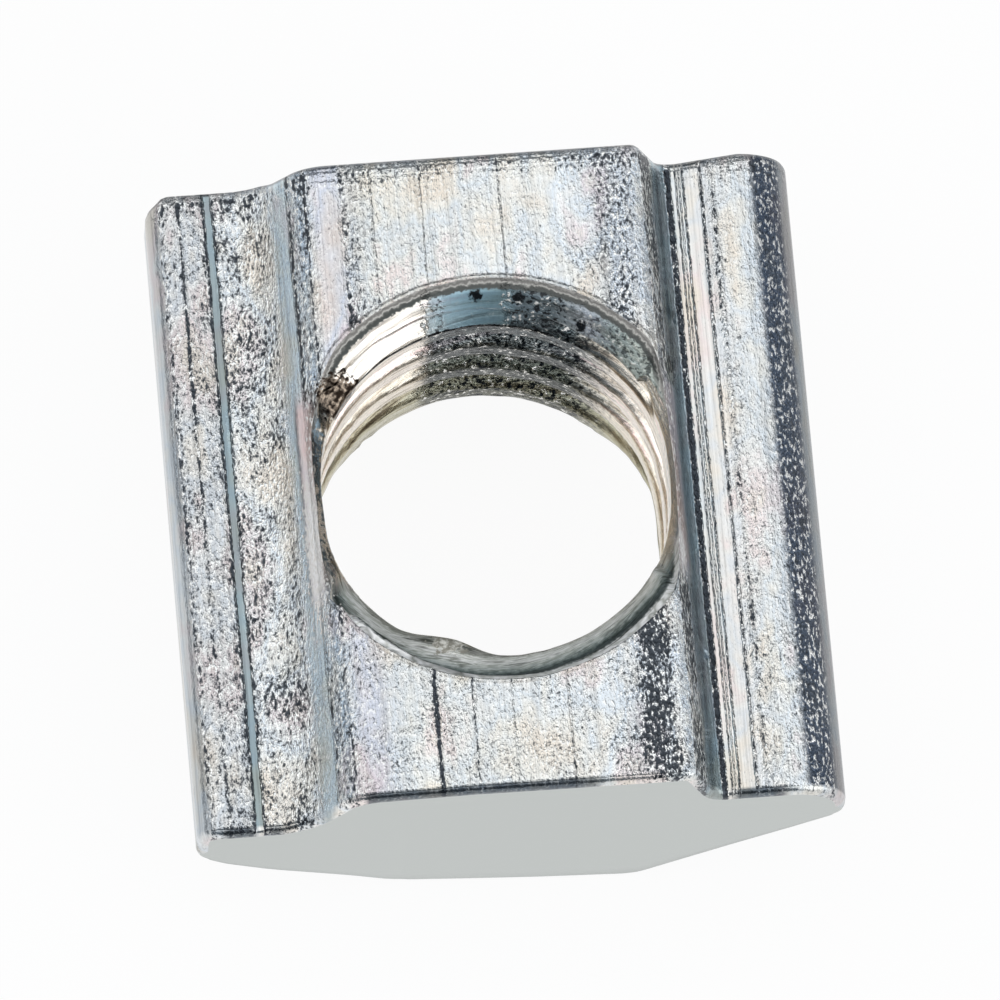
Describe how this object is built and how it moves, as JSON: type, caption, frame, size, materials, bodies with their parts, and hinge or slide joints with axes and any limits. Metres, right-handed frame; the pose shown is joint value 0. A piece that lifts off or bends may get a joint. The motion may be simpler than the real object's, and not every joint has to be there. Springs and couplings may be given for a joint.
{
  "type": "t slot nut",
  "caption": "Sliding nut with a T-shaped section, bevelled base and countersunk threaded hole, for slotted aluminium profiles.",
  "frame": {"origin": "on the thread's axis, in the plane of the flat base, at the middle of the length and width", "axes": "+Z along the thread, out of the slot; +Y along the slot; +X across it"},
  "size_m": [0.0124, 0.0126, 0.0056],
  "materials": {
    "zinc_plated_steel": "blue-white passivated zinc plating on cold drawn steel, with draw lines and pits"
  },
  "bodies": {
    "root": {"nut_body": "zinc_plated_steel"}
  },
  "joints": []
}
